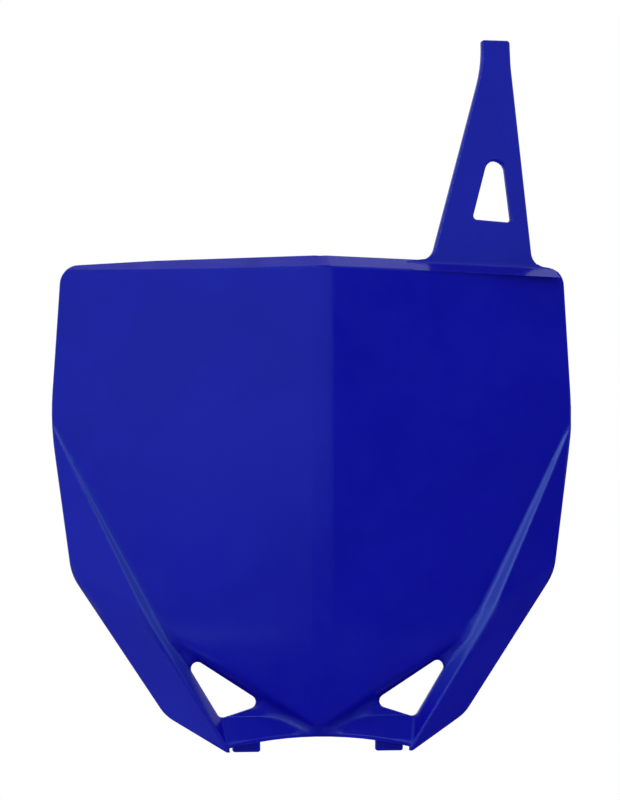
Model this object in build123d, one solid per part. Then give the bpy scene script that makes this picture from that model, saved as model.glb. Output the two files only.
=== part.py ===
from build123d import *
import os
from math import atan2, cos, radians, sin, sqrt, tan

# A front number board for a motocross motorcycle: one moulding with its strap and its two lower tabs.
# Millimetres, +Z up, the face looks along -Y; the origin is midway between the tabs, at their lower ends.

# Overall sizes
half_width = 127.5
crease_height = 234.4
wall = 2.3
edge_round = 0.5

# Main face: its plan section, and the chin that rolls back under it
ridge_y = -18.5
edge_y = 14.5
nose_round = 26.0
flank_angle = 12.0
chin_height = 0.2688 * crease_height
chin_round = 120.0

# Top band, folded back from the crease to the rim
crease_drop = 1.9
crease_round = 1.2
band_slope = 0.5
band_depth_mid = 10.0
band_depth_end = 6.0
band_round = 30.0

# Outline of the right half seen from the front: corners as (x, z), each with its round
top_corner = (0.966 * half_width, 1.0 * crease_height)
widest = (1.005 * half_width, 0.678 * crease_height)
side_corner = (0.928 * half_width, 0.364 * crease_height)
low_corner = (0.574 * half_width, 0.0735 * crease_height)
top_corner_round = 9.5
widest_round = 150.0
side_corner_round = 26.0
low_corner_round = 18.0
tip_x = 0.3435 * half_width
tip_z = 0.5
notch_z = 2.4
sill_z = 7.4

# Wings: a folded facet outside one sloping step that starts level with the main face
step_start = (1.047 * half_width, 0.727 * crease_height)
bend_y = -6.8
step_bend = (0.651 * half_width, bend_y, 0.27 * crease_height)
tip_y = -9.1
low_corner_y = 6.0
fold_round = 22.0
crest_round = 0.6

# Pockets under the prow, the shelf below them, and the vents through their floors
chin_tip_z = 11.8
chin_tip_round = 8.0
chin_edge_round = 5.5
pocket_top = (0.549 * half_width, 0.228 * crease_height)
floor_depth = 1.73
under_floor = (0.314 * half_width, 0.1425 * crease_height)
lip_y = -7.5
lip_bow = 2.6
lip_end_z = 4.4
lip_mid_z = 9.0
lip_round = 0.9
foot_round = 2.0
pocket_round = 1.2
vent_top = (0.536 * half_width, 0.216 * crease_height)
vent_in = (0.203 * half_width, 0.0985 * crease_height)
vent_low = (0.373 * half_width, 0.0687 * crease_height)
vent_round = 3.2

# Strap: a flat tongue that stands on the rim and leans back, with a long three-cornered hole
strap_thick = 2.6
strap_lean = 6.0
strap_height = 112.5
strap_end = 12.5
strap_top = (0.6925 * half_width, 0.8095 * half_width)
strap_foot = (0.45 * half_width, 0.8665 * half_width)
strap_root = (0.346 * half_width, 0.949 * half_width)
shoulder_run = 10.6
foot_flare = 7.5
strap_corner_round = 1.5
strap_round = 1.1
root_round = 3.0
hole_top = (0.748 * half_width, 0.654 * strap_height)
hole_left = (0.6245 * half_width, 0.209 * strap_height)
hole_right = (0.784 * half_width, 0.1965 * strap_height)
hole_top_round = 5.2
hole_foot_round = 1.8
mark_at = (0.7355 * half_width, 0.597 * strap_height)
mark_radius = 2.0
mark_depth = 0.2

# Lower tabs
tab_width = 13.4
tab_spacing = 69.6
tab_thick = 2.5
tab_corner_round = 1.2
tab_edge_round = 0.4

# Working limits, outside the moulding
reach = 1.1 * half_width
front_y = -90.0
back_y = 45.0
trim_y = 38.0
low_z = -30.0
top_room = 40.0
high_z = crease_height + top_room


def plane_through(p, q, r, facing):
    # The plane through three points, turned to look the way that is asked for
    p, q, r = Vector(*p), Vector(*q), Vector(*r)
    normal = (q - p).cross(r - p).normalized()
    return Plane(origin=p, z_dir=normal if normal.dot(Vector(*facing)) > 0 else -normal)


def mirrored(plane):
    # The same plane on the left half
    o, n = plane.origin, plane.z_dir
    return Plane(origin=(-o.X, o.Y, o.Z), z_dir=(-n.X, n.Y, n.Z))


def behind(body, *planes):
    for plane in planes:
        body = split(body, bisect_by=plane, keep=Keep.BOTTOM)
    return body


def ahead(body, *planes):
    for plane in planes:
        body = split(body, bisect_by=plane, keep=Keep.TOP)
    return body


def lies_on(edge, plane):
    return all(abs(plane.to_local_coords(edge.position_at(t)).Z) < 0.01 for t in (0.03, 0.5, 0.97))


def edges_on(body, *planes):
    return body.edges().filter_by(lambda e: all(lies_on(e, plane) for plane in planes))


def edges_on_both(body, first, second):
    # The edge two facets share, on the right half and on the left
    return edges_on(body, first, second) + edges_on(body, mirrored(first), mirrored(second))


def block(x0, x1, y0, y1, z0, z1):
    return Pos((x0 + x1) / 2, (y0 + y1) / 2, (z0 + z1) / 2) * Box(x1 - x0, y1 - y0, z1 - z0)


def rounded(face, rounds):
    # A flat shape with a round of its own at each named corner
    for corner, radius in rounds:
        face = fillet(face.vertices().sort_by_distance((*corner, 0))[0], radius)
    return face


everything = block(-reach, reach, front_y, back_y, low_z, high_z)
right_half = block(0, reach, front_y, back_y, low_z, high_z)
upright = Plane(origin=(0, 0, 0), x_dir=(1, 0, 0), z_dir=(0, -1, 0))

# Plan section of the main face: a round nose and two gently crowned flanks
lean = radians(flank_angle)
nose_end = (nose_round * sin(lean), ridge_y + nose_round * (1 - cos(lean)))
flank = TangentArc(nose_end, (half_width, edge_y), tangent=(cos(lean), sin(lean))).edge()
chin_axis = Axis((0, ridge_y + chin_round, chin_height), (1, 0, 0))


def flank_y(x, inset=0):
    # Depth of the flank at a distance from the mirror plane
    return flank.arc_center.Y - sqrt((flank.radius - inset) ** 2 - (x - flank.arc_center.X) ** 2)


def face_point(x, z):
    # A point of the main face, the chin's roll included
    roll = chin_round - sqrt(chin_round**2 - max(chin_height - z, 0) ** 2)
    return (x, flank_y(x) + roll, z)


def on_face(edge):
    # Whether an edge lies in the main face: each point is unrolled from the chin and held to the plan
    for t in (0.1, 0.5, 0.9):
        p = edge.position_at(t)
        y = p.Y
        if p.Z < chin_height:
            y = ridge_y + chin_round - sqrt((p.Y - ridge_y - chin_round) ** 2 + (p.Z - chin_height) ** 2)
        x = abs(p.X)
        plan_y = flank_y(x) if x > nose_end[0] else ridge_y + nose_round - sqrt(nose_round**2 - x**2)
        if abs(y - plan_y) > 0.02:
            return False
    return True


# Facets of the right half, each through the points that fix it
crease_mid = (0, ridge_y, crease_height)
crease_end = (top_corner[0], flank_y(top_corner[0]), crease_height - crease_drop)
rim_mid = (0, ridge_y + band_depth_mid, crease_height + band_slope * band_depth_mid)
band = plane_through(crease_mid, crease_end, rim_mid, (0, 0, 1))

start = (step_start[0], flank_y(step_start[0]), step_start[1])
tip = (tip_x, tip_y, tip_z)
step = plane_through(start, step_bend, tip, (-1, -1, 0))
wing_low = plane_through(step_bend, tip, (low_corner[0], low_corner_y, low_corner[1]), (0, -1, 0))
side_axis = Axis((side_corner[0], front_y, side_corner[1]), (0, 1, 0))
wing_high = plane_through(start, step_bend, wing_low.intersect(side_axis), (0, -1, 0))

floor_y = face_point(*pocket_top)[1] + floor_depth
floor = Plane(origin=(0, floor_y, 0), z_dir=(0, -1, 0))
under = plane_through(
    (0, ridge_y + face_point(0, chin_tip_z)[1] - flank_y(0), chin_tip_z),
    face_point(*pocket_top),
    (under_floor[0], floor_y, under_floor[1]),
    (0, 0, -1),
)
lip_mid = (0, lip_y + lip_bow, lip_mid_z)
shelf = plane_through(lip_mid, (tip_x, lip_y, lip_end_z), (-tip_x, lip_y, lip_end_z), (0, -1, 1))
lip_radius = (tip_x**2 + lip_bow**2) / (2 * lip_bow)


def lip_line(x, inset=0):
    # Depth of the sill's front, which is bowed in plan: hollow in the middle, forward at its ends
    return lip_mid[1] - lip_radius + sqrt((lip_radius + inset) ** 2 - x**2)


def prow(inset):
    # The main face as a solid: its plan section drawn upward, and turned back under at the chin
    nose_x = (nose_round - inset) * sin(lean)
    nose_y = ridge_y + nose_round - (nose_round - inset) * cos(lean)
    side = (reach, flank_y(reach, inset))
    right = TangentArc((nose_x, nose_y), side, tangent=(cos(lean), sin(lean))) + Line(side, (reach, back_y))
    nose = ThreePointArc((-nose_x, nose_y), (0, ridge_y + inset), (nose_x, nose_y))
    back = Line((-reach, back_y), (reach, back_y))
    section = Pos(0, 0, chin_height) * make_face(nose + right + mirror(right, Plane.YZ) + back)
    body = extrude(section, high_z - chin_height, dir=(0, 0, 1)) + revolve(section, chin_axis, 45)
    lid = behind(everything, band.offset(-inset), mirrored(band).offset(-inset))
    if not inset:
        lid = fillet(edges_on(lid, band, mirrored(band)), band_round)
    return body & lid


def chin(inset):
    # The prow cut away under its two lower edges, which roll over softly; the inner form stays sharp
    gap = ahead(right_half, under.offset(-inset))
    gap = gap + mirror(gap, Plane.YZ)
    if inset:
        return prow(inset) - gap
    body = prow(inset) - fillet(edges_on(gap, under, mirrored(under)), chin_tip_round)
    lower = body.edges().filter_by(on_face).filter_by(lambda e: abs(e.tangent_at(0.5).Z) < 0.8)
    tips = lower.filter_by(lambda e: e.center().Z < 2 * chin_tip_z)
    sides = lower.filter_by(lambda e: lies_on(e, under) or lies_on(e, mirrored(under)))
    return fillet(list(set(tips + sides)), chin_edge_round)


def upper_form(inset):
    # Everything behind the front skin of the wings and of the chin, set in from it by an even amount
    wing = behind(right_half, wing_high.offset(-inset), wing_low.offset(-inset))
    if not inset:
        wing = fillet(edges_on(wing, wing_high, wing_low), fold_round)
    wing = behind(wing, step.offset(-inset))
    if not inset:
        crest = edges_on(wing, step).filter_by(lambda e: e.center().Y < edge_y)
        crest = crest.filter_by(lambda e: low_z < e.center().Z < high_z)
        wing = fillet(crest, crest_round)
    between = ahead(everything, step.offset(-inset), mirrored(step.offset(-inset)))
    middle = (chin(inset) & between) - behind(everything, shelf.offset(-inset))
    return wing + mirror(wing, Plane.YZ) + middle


def lower_form(inset):
    # The same behind the floors of the pockets, and behind the shelf and its bowed sill
    between = ahead(everything, step.offset(-inset), mirrored(step.offset(-inset)))
    backing = block(-reach, reach, floor_y + inset, back_y, low_z, under_floor[1])
    below = block(-reach, reach, front_y, back_y, low_z, chin_height)
    floors = behind(prow(inset), floor.offset(-inset)) & below
    left, right = (-reach, lip_line(reach, inset)), (reach, lip_line(reach, inset))
    front = ThreePointArc(left, (0, lip_line(0, inset)), right)
    sill = make_face(front + Polyline(right, (reach, back_y), (-reach, back_y), left))
    sill = extrude(Pos(0, 0, low_z) * sill, high_z - low_z, dir=(0, 0, 1))
    return (ahead(floors + backing, shelf.offset(-inset)) + behind(sill, shelf.offset(-inset))) & between


def outline():
    # The board's edge seen from the front; its top line runs just clear of the rim
    right = Polyline(
        (tip_x, notch_z),
        (tip_x, tip_z),
        (tip_x + 1.5, tip_z),
        low_corner,
        side_corner,
        widest,
        top_corner,
        (0, crease_height + 7),
    )
    sill = ThreePointArc((-tip_x, notch_z), (0, sill_z), (tip_x, notch_z))
    face = make_face(right + mirror(right, Plane.YZ) + sill)
    for side in (1, -1):
        face = rounded(
            face,
            [
                ((side * low_corner[0], low_corner[1]), low_corner_round),
                ((side * side_corner[0], side_corner[1]), side_corner_round),
                ((side * widest[0], widest[1]), widest_round),
                ((side * top_corner[0], top_corner[1]), top_corner_round),
            ],
        )
    return face


# Front skin cut to the outline, then the crease softened
edge = extrude(upright * outline(), 80, both=True) & block(-reach, reach, front_y, trim_y, low_z, high_z)
solid = upper_form(0) & edge
lower = lower_form(0) & edge
crease = solid.edges().filter_by(on_face).filter_by(lambda e: e.center().Z > crease_height - 2 * crease_drop)
solid = fillet(crease.filter_by(lambda e: abs(e.tangent_at(0.5).Z) < 0.5), crease_round)


def skin_edges(body):
    # Edges where the front skin meets the outline's wall
    walls = body.faces().filter_by(lambda f: abs(f.normal_at(f.center()).Y) < 0.0001)
    walls = walls.filter_by(lambda f: f.center().Y > edge_y / 2)
    edges = [e for f in walls for e in f.edges()]
    return [e for e in edges if abs(e.tangent_at(0.5).Y) < 0.9 and e.center().Y < trim_y - 1]


# Edge of the outline, rounded along the wings, and along the main face and the band
long_edges = [e for e in skin_edges(solid) if e.length > 20]
wing_edges = [e for e in long_edges if chin_height < e.center().Z < step_start[1] - 10]
face_edges = [e for e in long_edges if abs(e.center().X) > tip_x]
face_edges = [e for e in face_edges if step_start[1] < e.center().Z < crease_height]
soft_edged = fillet(wing_edges, edge_round) & fillet(face_edges, edge_round)

# Feet of the steps softened, then the corners of the pockets and of the shelf
feet = solid.edges().filter_by(lambda e: lies_on(e, step) or lies_on(e, mirrored(step)))
solid = fillet(feet.filter_by(on_face), foot_round) + lower
corners = edges_on(solid, shelf).filter_by(lambda e: abs((e @ 0.3).Y - lip_line((e @ 0.3).X)) > 0.02)
solid = fillet(list(set(edges_on(solid, floor) + corners)), pocket_round)
lip_edges = edges_on(solid, shelf).filter_by(lambda e: abs((e @ 0.3).Y - lip_line((e @ 0.3).X)) < 0.02)
solid = fillet(lip_edges, lip_round)

# The rounded edge is taken from the first of these forms and the rest from the second;
# the edge stays sharp where a step runs out through it
run_out = step.intersect(Axis((half_width, edge_y, 0), (0, 0, 1))).Z
sharp = block(0.9 * half_width, reach, front_y, back_y, run_out - 8, run_out + 8)
inside = extrude(upright * offset(outline(), -1.5 * edge_round), 80, both=True)
inside = inside + sharp + mirror(sharp, Plane.YZ)
solid = ((soft_edged + lower) - inside) + (solid & inside)

# Hollow behind, the rim across the top, and the vents
rim_end = (top_corner[0], crease_end[1] + band_depth_end)
rim_dir = Vector(rim_end[0], rim_end[1] - rim_mid[1]).normalized()
rim = Plane(origin=(0, rim_mid[1], 0), x_dir=rim_dir, z_dir=(rim_dir.Y, -rim_dir.X, 0))
beyond = behind(block(-reach, reach, front_y, back_y, crease_height - 20, high_z), rim, mirrored(rim))
board = solid - upper_form(wall) - lower_form(wall) - beyond
vent = make_face(Polyline(vent_top, vent_in, vent_low, close=True))
vent = extrude(upright * fillet(vent.vertices(), vent_round), 60, both=True)
board = board - vent - mirror(vent, Plane.YZ)

# Strap, drawn flat on its own leaning plane and rounded along its front edges
tilt = radians(strap_lean)
strap_facing = (rim_dir.Y * cos(tilt), -rim_dir.X * cos(tilt), sin(tilt))
strap_plane = Plane(origin=(0, rim_mid[1], crease_height), x_dir=rim_dir, z_dir=strap_facing)
strap_front = strap_plane.offset(strap_thick)
foot_left = (strap_foot[0], 4.0)
foot_right = (strap_foot[1], 1.5)
shoulder_left = (strap_top[0], strap_height - strap_end)
shoulder_right = (strap_top[1], strap_height - strap_end)
top_left = (strap_top[0], strap_height)
top_right = (strap_top[1], strap_height)
shoulder_turn = atan2(strap_top[0] - strap_foot[0], strap_height - strap_end - foot_left[1])
shoulder_round = shoulder_run / tan(shoulder_turn / 2)
tongue = Polyline(
    (strap_root[0], -3),
    (strap_root[0], 2.4),
    foot_left,
    shoulder_left,
    top_left,
    top_right,
    shoulder_right,
    foot_right,
    (strap_root[1], -0.9),
    (strap_root[1], -6),
    close=True,
)
tongue = rounded(
    make_face(tongue),
    [
        (foot_left, foot_flare),
        (foot_right, foot_flare),
        (shoulder_left, shoulder_round),
        (shoulder_right, shoulder_round),
        (top_left, strap_corner_round),
        (top_right, strap_corner_round),
    ],
)
hole = make_face(Polyline(hole_top, hole_left, hole_right, close=True))
hole = rounded(hole, [(hole_left, hole_foot_round), (hole_right, hole_foot_round)])
hole = rounded(hole, [(hole_top, hole_top_round)])
tongue = tongue - hole
strap = extrude(strap_plane * tongue, strap_thick)
front_edges = edges_on(strap, strap_front).filter_by(lambda e: e.center().Z > crease_height + 1)
strap = fillet(front_edges, strap_round)
strap = strap - strap_front * (Pos(*mark_at) * Cylinder(mark_radius, 2 * mark_depth))

# Root of the strap, blended into the band
root = behind(block(0, reach, front_y, back_y, crease_height - 30, high_z), band)
slab = extrude(strap_plane * (Pos(half_width / 2, 0) * Rectangle(1.2 * half_width, 60)), strap_thick)
blend = fillet(edges_on(root + slab, band, strap_front), root_round)
blend = ahead(blend, strap_front) & extrude(strap_front * tongue, 12)
board = board + ahead(strap + blend, band.offset(-0.5 * wall))

# Tabs under the shelf
tab_top = vent_low[1] - 1
tab = block(-tab_width / 2, tab_width / 2, -tab_thick / 2, tab_thick / 2, 0, tab_top)
tab = fillet(tab.edges().filter_by(Axis.Y).group_by(Axis.Z)[0], tab_corner_round)
tab_front = tab.faces().sort_by(Axis.Y)[0].edges().filter_by(lambda e: e.center().Z < tab_top - 0.1)
tab = fillet(tab_front, tab_edge_round)
tab = behind(Pos(tab_spacing / 2, 0, 0) * tab, shelf.offset(-0.35 * wall))
board = board + tab + mirror(tab, Plane.YZ)

os.makedirs("parts", exist_ok=True)
export_step(board, "parts/number_board.step")
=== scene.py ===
import math

import bpy
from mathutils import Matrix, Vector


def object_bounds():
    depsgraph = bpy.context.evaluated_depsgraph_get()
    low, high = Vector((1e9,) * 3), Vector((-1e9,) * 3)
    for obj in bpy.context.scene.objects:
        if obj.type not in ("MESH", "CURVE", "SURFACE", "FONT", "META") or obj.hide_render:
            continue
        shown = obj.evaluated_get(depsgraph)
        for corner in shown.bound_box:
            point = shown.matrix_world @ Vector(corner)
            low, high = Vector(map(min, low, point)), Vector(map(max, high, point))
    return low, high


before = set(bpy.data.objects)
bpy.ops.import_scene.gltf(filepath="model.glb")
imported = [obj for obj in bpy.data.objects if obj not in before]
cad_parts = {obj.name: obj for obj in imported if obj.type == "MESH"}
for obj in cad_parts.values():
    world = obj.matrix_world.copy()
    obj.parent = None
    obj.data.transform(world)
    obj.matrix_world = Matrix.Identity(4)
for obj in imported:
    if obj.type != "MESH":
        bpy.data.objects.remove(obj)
cad_low, cad_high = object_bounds()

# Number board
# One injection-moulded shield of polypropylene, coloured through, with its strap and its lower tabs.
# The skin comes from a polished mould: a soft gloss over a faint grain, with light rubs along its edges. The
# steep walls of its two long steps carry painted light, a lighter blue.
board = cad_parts["number_board"]
deep_blue = (0.0026, 0.0024, 0.300, 1.0)
flow_blue = (0.0034, 0.0036, 0.335, 1.0)
rubbed_blue = (0.012, 0.017, 0.400, 1.0)
# Painted light: the lighter blue laid on the steep step walls in place of the light falling on them
painted_light_blue = (0.024, 0.046, 0.39, 1.0)
plastic_ior = 1.49
glare_tint = (0.62, 1.0, 1.0, 1.0)
glare_level = 0.21
gloss_roughness = 0.20
rubbed_roughness = 0.26
smear_polish = 0.03
smear_dulling = 0.04
flow_scale = 14.0
flow_swirl = 0.6
flow_begins = 0.32
flow_full = 0.68
smear_scale = 55.0
smear_begins = 0.3
smear_full = 0.7
rub_scale = 180.0
ripple_scale = 85.0
ripple_depth = 0.0006
grain_scale = 2600.0
grain_depth = 0.00006
bump_strength = 0.05
edge_reach = 0.0011
edge_begins = 0.995
edge_full = 0.90
edge_rub = 0.5
chin_tip = 0.0118
chin_slope = 0.594
chin_band = 0.012
chin_softness = 0.006
step_bend_x = 0.083
step_bend_z = 0.0633
step_lean_above = 0.472
step_lean_below = 0.625
step_band = 0.014
step_softness = 0.0026
wall_begins = 0.25
wall_full = 0.36
painted_light_from = 0.012
painted_light_full = 0.075
# The colour sockets of a Mix node, by number: its floats have the same names
first_colour, second_colour, mixed_colour = 6, 7, 2


def add_node(tree, kind, place, **values):
    # One node of a material, with its settings and its unlinked inputs by name
    made = tree.nodes.new(kind)
    made.location = place
    for name, value in values.items():
        if name in made.inputs:
            made.inputs[name].default_value = value
        else:
            setattr(made, name, value)
    return made


def ramp_between(tree, place, begins, full):
    # A soft ramp of a mask, from nothing at the first value to full at the second
    made = add_node(tree, "ShaderNodeMapRange", place, interpolation_type="SMOOTHSTEP")
    made.inputs["From Min"].default_value = begins
    made.inputs["From Max"].default_value = full
    return made


plastic = bpy.data.materials.new("blue_moulded_plastic")
plastic.use_nodes = True
tree = plastic.node_tree
tree.nodes.clear()
join = tree.links.new
output = add_node(tree, "ShaderNodeOutputMaterial", (900, 0))
skin = add_node(tree, "ShaderNodeBsdfPrincipled", (600, 0), IOR=plastic_ior)
skin.inputs["Specular IOR Level"].default_value = glare_level
skin.inputs["Specular Tint"].default_value = glare_tint
join(skin.outputs["BSDF"], output.inputs["Surface"])
place = add_node(tree, "ShaderNodeTexCoord", (-1500, 0))

# Colour: the pigment lies a little unevenly along the flow of the melt
flow = add_node(tree, "ShaderNodeTexNoise", (-1000, 400), Scale=flow_scale, Detail=3.0, Roughness=0.55)
flow.inputs["Distortion"].default_value = flow_swirl
join(place.outputs["Object"], flow.inputs["Vector"])
flow_mask = ramp_between(tree, (-800, 400), flow_begins, flow_full)
join(flow.outputs["Fac"], flow_mask.inputs["Value"])
colour = add_node(tree, "ShaderNodeMix", (-550, 400), data_type="RGBA")
colour.inputs[first_colour].default_value = deep_blue
colour.inputs[second_colour].default_value = flow_blue
join(flow_mask.outputs["Result"], colour.inputs["Factor"])

# Edges: handling and packing dull and lighten the sharp corners
true_normal = add_node(tree, "ShaderNodeNewGeometry", (-1300, -200))
soft_normal = add_node(tree, "ShaderNodeBevel", (-1300, -450), samples=6, Radius=edge_reach)
turned = add_node(tree, "ShaderNodeVectorMath", (-1100, -300), operation="DOT_PRODUCT")
join(true_normal.outputs["True Normal"], turned.inputs[0])
join(soft_normal.outputs["Normal"], turned.inputs[1])
edge_mask = ramp_between(tree, (-900, -300), edge_begins, edge_full)
join(turned.outputs["Value"], edge_mask.inputs["Value"])
patches = add_node(tree, "ShaderNodeTexNoise", (-1100, -550), Scale=rub_scale, Detail=2.0)
join(place.outputs["Object"], patches.inputs["Vector"])
worn = add_node(tree, "ShaderNodeMath", (-700, -400), operation="MULTIPLY")
join(edge_mask.outputs["Result"], worn.inputs[0])
join(patches.outputs["Fac"], worn.inputs[1])
worn_share = add_node(tree, "ShaderNodeMath", (-500, -400), operation="MULTIPLY")
worn_share.inputs[1].default_value = edge_rub
join(worn.outputs["Value"], worn_share.inputs[0])
worn_colour = add_node(tree, "ShaderNodeMix", (-250, 300), data_type="RGBA")
worn_colour.inputs[second_colour].default_value = rubbed_blue
join(colour.outputs[mixed_colour], worn_colour.inputs[first_colour])
join(worn_share.outputs["Value"], worn_colour.inputs["Factor"])

# Gloss: faint smears from hands and cloths
smear = add_node(tree, "ShaderNodeTexNoise", (-1000, 50), Scale=smear_scale, Detail=4.0, Roughness=0.6)
join(place.outputs["Object"], smear.inputs["Vector"])
smear_gloss = add_node(tree, "ShaderNodeMapRange", (-700, 50))
smear_gloss.inputs["From Min"].default_value = smear_begins
smear_gloss.inputs["From Max"].default_value = smear_full
smear_gloss.inputs["To Min"].default_value = gloss_roughness - smear_polish
smear_gloss.inputs["To Max"].default_value = gloss_roughness + smear_dulling
join(smear.outputs["Fac"], smear_gloss.inputs["Value"])
gloss = add_node(tree, "ShaderNodeMix", (-250, 50), data_type="FLOAT")
gloss.inputs["B"].default_value = rubbed_roughness
join(smear_gloss.outputs["Result"], gloss.inputs["A"])
join(worn_share.outputs["Value"], gloss.inputs["Factor"])
join(gloss.outputs["Result"], skin.inputs["Roughness"])

# Rounds: the chin's two lower edges, a V that rises from its tip, flow softly into the pockets, and the
# crests and feet of the two long steps are blended into the faces beside them
apart = add_node(tree, "ShaderNodeSeparateXYZ", (-1500, -1000))
join(place.outputs["Object"], apart.inputs["Vector"])
sideways = add_node(tree, "ShaderNodeMath", (-1300, -1000), operation="ABSOLUTE")
join(apart.outputs["X"], sideways.inputs[0])


def line_across(tree, column, slope, start):
    # The straight line of an edge of the board: one coordinate worked out from another
    made = add_node(tree, "ShaderNodeMath", column, operation="MULTIPLY_ADD")
    made.inputs[1].default_value = slope
    made.inputs[2].default_value = start
    return made


def soft_band(tree, row, along, line, width, radius):
    # A band along a line, inside which edges are shaded as rounds of the given radius
    apart_by = add_node(tree, "ShaderNodeMath", (-700, row), operation="SUBTRACT")
    tree.links.new(along, apart_by.inputs[0])
    tree.links.new(line, apart_by.inputs[1])
    distance_off = add_node(tree, "ShaderNodeMath", (-500, row), operation="ABSOLUTE")
    tree.links.new(apart_by.outputs["Value"], distance_off.inputs[0])
    made = add_node(tree, "ShaderNodeMapRange", (-300, row), interpolation_type="SMOOTHSTEP")
    made.inputs["From Min"].default_value = width
    made.inputs["From Max"].default_value = 0.5 * width
    made.inputs["To Min"].default_value = 0.0
    made.inputs["To Max"].default_value = radius
    tree.links.new(distance_off.outputs["Value"], made.inputs["Value"])
    return made


chin_line = line_across(tree, (-1100, -1000), chin_slope, chin_tip)
join(sideways.outputs["Value"], chin_line.inputs[0])
chin_soft = soft_band(tree, -1000, apart.outputs["Z"], chin_line.outputs["Value"], chin_band, chin_softness)
step_above = line_across(tree, (-1100, -1200), step_lean_above, step_bend_x - step_lean_above * step_bend_z)
step_below = line_across(tree, (-1100, -1400), step_lean_below, step_bend_x - step_lean_below * step_bend_z)
step_line = add_node(tree, "ShaderNodeMath", (-900, -1300), operation="MINIMUM")
for number, part_line in enumerate((step_above, step_below)):
    join(apart.outputs["Z"], part_line.inputs[0])
    join(part_line.outputs["Value"], step_line.inputs[number])
step_soft = soft_band(
    tree, -1300, sideways.outputs["Value"], step_line.outputs["Value"], step_band, step_softness
)
softness = add_node(tree, "ShaderNodeMath", (-100, -1100), operation="MAXIMUM")
join(chin_soft.outputs["Result"], softness.inputs[0])
join(step_soft.outputs["Result"], softness.inputs[1])
round_normal = add_node(tree, "ShaderNodeBevel", (100, -1100), samples=8)
join(softness.outputs["Value"], round_normal.inputs["Radius"])

# Step light: the steep, front-facing wall of each long step is painted a lighter blue. This is painted light
# standing in for the light that falls on the wall, and it fades out low down beside the vents.
facing = add_node(tree, "ShaderNodeSeparateXYZ", (-1100, 700))
join(true_normal.outputs["True Normal"], facing.inputs["Vector"])
steep = ramp_between(tree, (-900, 700), wall_begins, wall_full)
join(facing.outputs["Z"], steep.inputs["Value"])
above = ramp_between(tree, (-900, 900), painted_light_from, painted_light_full)
join(apart.outputs["Z"], above.inputs["Value"])
painted_light_wall = add_node(tree, "ShaderNodeMath", (-700, 800), operation="MULTIPLY")
join(steep.outputs["Result"], painted_light_wall.inputs[0])
join(above.outputs["Result"], painted_light_wall.inputs[1])
in_front = add_node(tree, "ShaderNodeMath", (-900, 500), operation="LESS_THAN")
in_front.inputs[1].default_value = 0.0
join(facing.outputs["Y"], in_front.inputs[0])
painted_light_front = add_node(tree, "ShaderNodeMath", (-600, 600), operation="MULTIPLY")
join(painted_light_wall.outputs["Value"], painted_light_front.inputs[0])
join(in_front.outputs["Value"], painted_light_front.inputs[1])
painted_light_near = add_node(tree, "ShaderNodeMath", (-500, 700), operation="MULTIPLY")
join(painted_light_front.outputs["Value"], painted_light_near.inputs[0])
join(step_soft.outputs["Result"], painted_light_near.inputs[1])
painted_light_share = add_node(tree, "ShaderNodeMath", (-300, 700), operation="MULTIPLY", use_clamp=True)
painted_light_share.inputs[1].default_value = 1.0 / step_softness
join(painted_light_near.outputs["Value"], painted_light_share.inputs[0])
# Painted highlight: the step walls are mixed towards the lighter painted-light blue
painted_light_colour = add_node(tree, "ShaderNodeMix", (0, 400), data_type="RGBA")
painted_light_colour.inputs[second_colour].default_value = painted_light_blue
join(worn_colour.outputs[mixed_colour], painted_light_colour.inputs[first_colour])
join(painted_light_share.outputs["Value"], painted_light_colour.inputs["Factor"])
join(painted_light_colour.outputs[mixed_colour], skin.inputs["Base Color"])

# Skin: a slow ripple left by shrinkage under a very fine mould grain
ripple = add_node(tree, "ShaderNodeTexNoise", (-700, -650), Scale=ripple_scale, Detail=1.0)
join(place.outputs["Object"], ripple.inputs["Vector"])
grain = add_node(tree, "ShaderNodeTexNoise", (-700, -850), Scale=grain_scale, Detail=2.0)
join(place.outputs["Object"], grain.inputs["Vector"])
ripple_bump = add_node(tree, "ShaderNodeBump", (-350, -650), Strength=bump_strength, Distance=ripple_depth)
join(round_normal.outputs["Normal"], ripple_bump.inputs["Normal"])
join(ripple.outputs["Fac"], ripple_bump.inputs["Height"])
grain_bump = add_node(tree, "ShaderNodeBump", (-100, -700), Strength=bump_strength, Distance=grain_depth)
join(grain.outputs["Fac"], grain_bump.inputs["Height"])
join(ripple_bump.outputs["Normal"], grain_bump.inputs["Normal"])
join(grain_bump.outputs["Normal"], skin.inputs["Normal"])
board.data.materials.clear()
board.data.materials.append(plastic)

# Studio floor
# A round of pale matt board on the ground, well below the part, which is held up as on its brackets.
# It fades to the white of the room at its rim, and takes the part's soft shadow.
floor_height = -0.33
floor_radius = 1.7
floor_grey = (0.82, 0.82, 0.83, 1.0)
fade_begins = 0.5 * floor_radius
fade_ends = 0.97 * floor_radius
bpy.ops.object.select_all(action="DESELECT")
bpy.ops.mesh.primitive_circle_add(
    vertices=96, radius=floor_radius, fill_type="NGON", location=(0, 0, floor_height)
)
floor = bpy.context.object
floor.name = "studio_floor"
matt = bpy.data.materials.new("pale_floor")
matt.use_nodes = True
tree = matt.node_tree
join = tree.links.new
surface = tree.nodes["Principled BSDF"]
surface.inputs["Base Color"].default_value = floor_grey
surface.inputs["Roughness"].default_value = 0.9
surface.inputs["Specular IOR Level"].default_value = 0.1
white = add_node(tree, "ShaderNodeEmission", (0, -300), Strength=1.0)
place = add_node(tree, "ShaderNodeTexCoord", (-700, 0))
flat = add_node(tree, "ShaderNodeVectorMath", (-500, 0), operation="LENGTH")
join(place.outputs["Object"], flat.inputs[0])
rim = ramp_between(tree, (-300, 0), fade_begins, fade_ends)
join(flat.outputs["Value"], rim.inputs["Value"])
fade = add_node(tree, "ShaderNodeMixShader", (300, 0))
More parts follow.
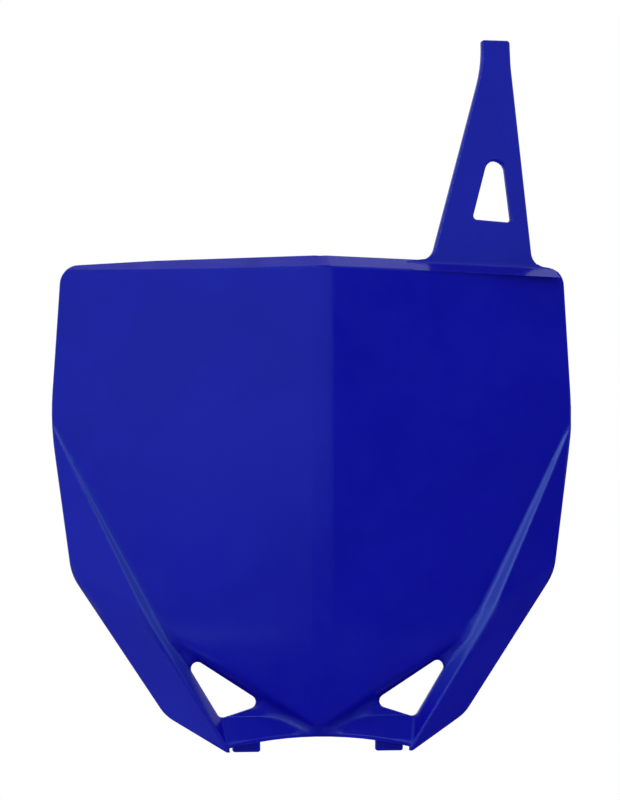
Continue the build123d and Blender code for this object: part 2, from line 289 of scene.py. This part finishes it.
join(rim.outputs["Result"], fade.inputs["Fac"])
join(surface.outputs["BSDF"], fade.inputs[1])
join(white.outputs["Emission"], fade.inputs[2])
join(fade.outputs["Shader"], tree.nodes["Material Output"].inputs["Surface"])
floor.data.materials.append(matt)

# Dark cloths
# Felt cloths out of the camera's sight, on the ground, low in front, at the right, high behind and overhead.
# They keep the glare of the white room off the chin, the shelf under it, the right half and the top band.
felt = bpy.data.materials.new("dark_felt")
felt.use_nodes = True
nap = felt.node_tree.nodes["Principled BSDF"]
nap.inputs["Base Color"].default_value = (0.02, 0.02, 0.022, 1.0)
nap.inputs["Roughness"].default_value = 0.95
upright = math.radians(90)
level = (0, 0, 0)


def dark_cloth(name, place, width, height, turned):
    # Only gloss sees a cloth: it takes no light from the part and throws no shadow on the floor
    bpy.ops.object.select_all(action="DESELECT")
    bpy.ops.mesh.primitive_plane_add(size=1.0, location=place, rotation=turned)
    cloth = bpy.context.object
    cloth.name = name
    cloth.scale = (width, height, 1.0)
    cloth.data.materials.append(felt)
    cloth.visible_camera = False
    cloth.visible_shadow = False
    cloth.visible_diffuse = False


dark_cloth("front_ground_cloth", (0.575, -0.81, -0.06), 1.65, 1.38, level)
dark_cloth("back_ground_cloth", (0.64, 0.49, -0.06), 1.52, 1.22, level)
dark_cloth("front_cloth", (-0.2, -1.45, -0.02), 1.9, 0.2, (upright, 0, math.radians(-8)))
dark_cloth("side_cloth", (0.89, -0.647, 0.15), 1.22, 0.5, (upright, 0, math.radians(54)))
dark_cloth("high_cloth", (0.0, 0.8, 1.25), 3.2, 0.5, (math.radians(38), 0, 0))
dark_cloth("over_cloth", (0.14, -0.40, 0.58), 0.36, 0.34, (math.radians(36), 0, math.radians(13)))

# Studio light
# A soft lamp in front and one at the upper left give the gloss, in a white room. Two polarised fill lamps,
# which give no glare, lift the underside from the left and the back from above.
bpy.context.scene.view_settings.view_transform = "Standard"
white_paint = (1.0, 1.0, 1.0, 1.0)
room_light = 0.62
room_white = 1.0


def soft_light(name, place, aim, size, power):
    # A square lamp behind a diffuser, turned to face a point
    lamp = bpy.data.lights.new(name, "AREA")
    lamp.shape = "SQUARE"
    lamp.size = size
    lamp.energy = power
    made = bpy.data.objects.new(name, lamp)
    bpy.context.scene.collection.objects.link(made)
    made.location = place
    made.rotation_euler = (aim - made.location).to_track_quat("-Z", "Y").to_euler()
    return made


middle = (cad_low + cad_high) / 2
soft_light("key_light", (-0.1, -1.65, 1.15), middle, 0.6, 8.0)
soft_light("side_light", (-1.25, -0.7, 1.0), middle, 0.7, 4.0)
for name, place, power in (
    ("low_fill", (-0.9, -1.4, -0.2), 4.0),
    ("back_fill", (0.3, 0.8, 1.4), 6.0),
):
    soft_light(name, place, middle, 1.0, power).visible_glossy = False
room = bpy.data.worlds.new("white_room")
bpy.context.scene.world = room
room.use_nodes = True
room.cycles.sampling_method = "NONE"
tree = room.node_tree
tree.nodes.clear()
join = tree.links.new
output = add_node(tree, "ShaderNodeOutputWorld", (600, 0))
dim = add_node(tree, "ShaderNodeBackground", (0, 100), Color=white_paint, Strength=room_light)
bright = add_node(tree, "ShaderNodeBackground", (0, -100), Color=white_paint, Strength=room_white)
ray = add_node(tree, "ShaderNodeLightPath", (-600, 300))
seen = add_node(tree, "ShaderNodeMath", (-350, 300), operation="MAXIMUM")
join(ray.outputs["Is Camera Ray"], seen.inputs[0])
join(ray.outputs["Is Glossy Ray"], seen.inputs[1])
shown = add_node(tree, "ShaderNodeMath", (-150, 300), operation="MAXIMUM")
join(seen.outputs["Value"], shown.inputs[0])
join(ray.outputs["Is Transmission Ray"], shown.inputs[1])
choice = add_node(tree, "ShaderNodeMixShader", (300, 0))
join(shown.outputs["Value"], choice.inputs["Fac"])
join(dim.outputs["Background"], choice.inputs[1])
join(bright.outputs["Background"], choice.inputs[2])
join(choice.outputs["Shader"], output.inputs["Surface"])

# Camera
# It stands level with the board, two metres off and a little to its left, with a long lens.
turn = math.radians(7.82)
distance = 2.0
eye_height = 0.1697
centring = math.radians(0.108)
focal_length = 186.25
lens = bpy.data.cameras.new("camera")
lens.sensor_width = 36.0
lens.lens = focal_length
lens.clip_start = 0.05
lens.clip_end = 50.0
camera = bpy.data.objects.new("camera", lens)
bpy.context.scene.collection.objects.link(camera)
camera.location = (-distance * math.sin(turn), -distance * math.cos(turn), eye_height)
camera.rotation_euler = (math.radians(90), 0, centring - turn)
bpy.context.scene.camera = camera
